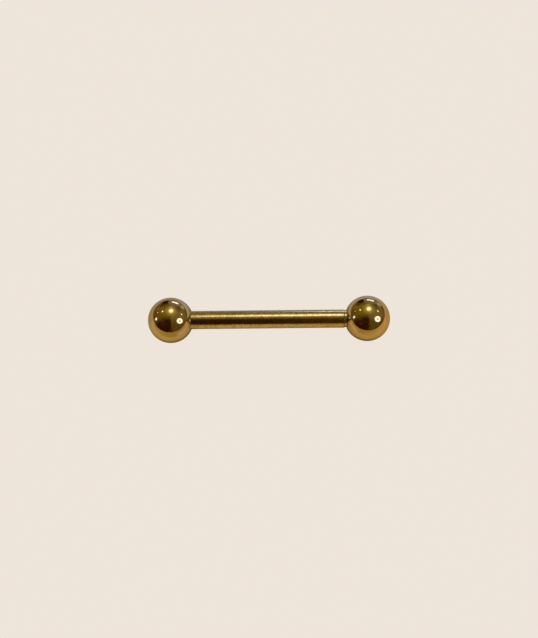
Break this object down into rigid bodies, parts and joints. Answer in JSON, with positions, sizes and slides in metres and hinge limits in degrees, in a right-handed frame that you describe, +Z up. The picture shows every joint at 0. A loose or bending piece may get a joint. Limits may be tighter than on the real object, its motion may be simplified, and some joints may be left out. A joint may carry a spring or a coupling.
{
  "type": "nipple barbell",
  "caption": "Straight gold-toned piercing barbell: a smooth round bar with threaded ends and a screw-on ball on each end.",
  "frame": {"origin": "on the surface the barbell lies on, under the middle of its whole length", "axes": "+X along the bar towards the slightly unscrewed ball, +Z up, +Y away from the viewer"},
  "size_m": [0.0212, 0.004, 0.004],
  "materials": {
    "bar_gold": "drawn and polished steel with a thin gold-coloured coating, fine lengthwise streaks",
    "ball_gold": "mirror-polished steel with a thin gold-coloured coating"
  },
  "bodies": {
    "bar": {"bar": "bar_gold"},
    "left_ball": {"left_ball": "ball_gold"},
    "right_ball": {"right_ball": "ball_gold"}
  },
  "joints": [
    {"name": "left_ball_unscrew", "type": "slide", "parent": "bar", "child": "left_ball", "axis": [-1, 0, 0], "range_m": [0, 0.006]},
    {"name": "right_ball_unscrew", "type": "slide", "parent": "bar", "child": "right_ball", "axis": [1, 0, 0], "range_m": [-0.00031, 0.006]}
  ]
}
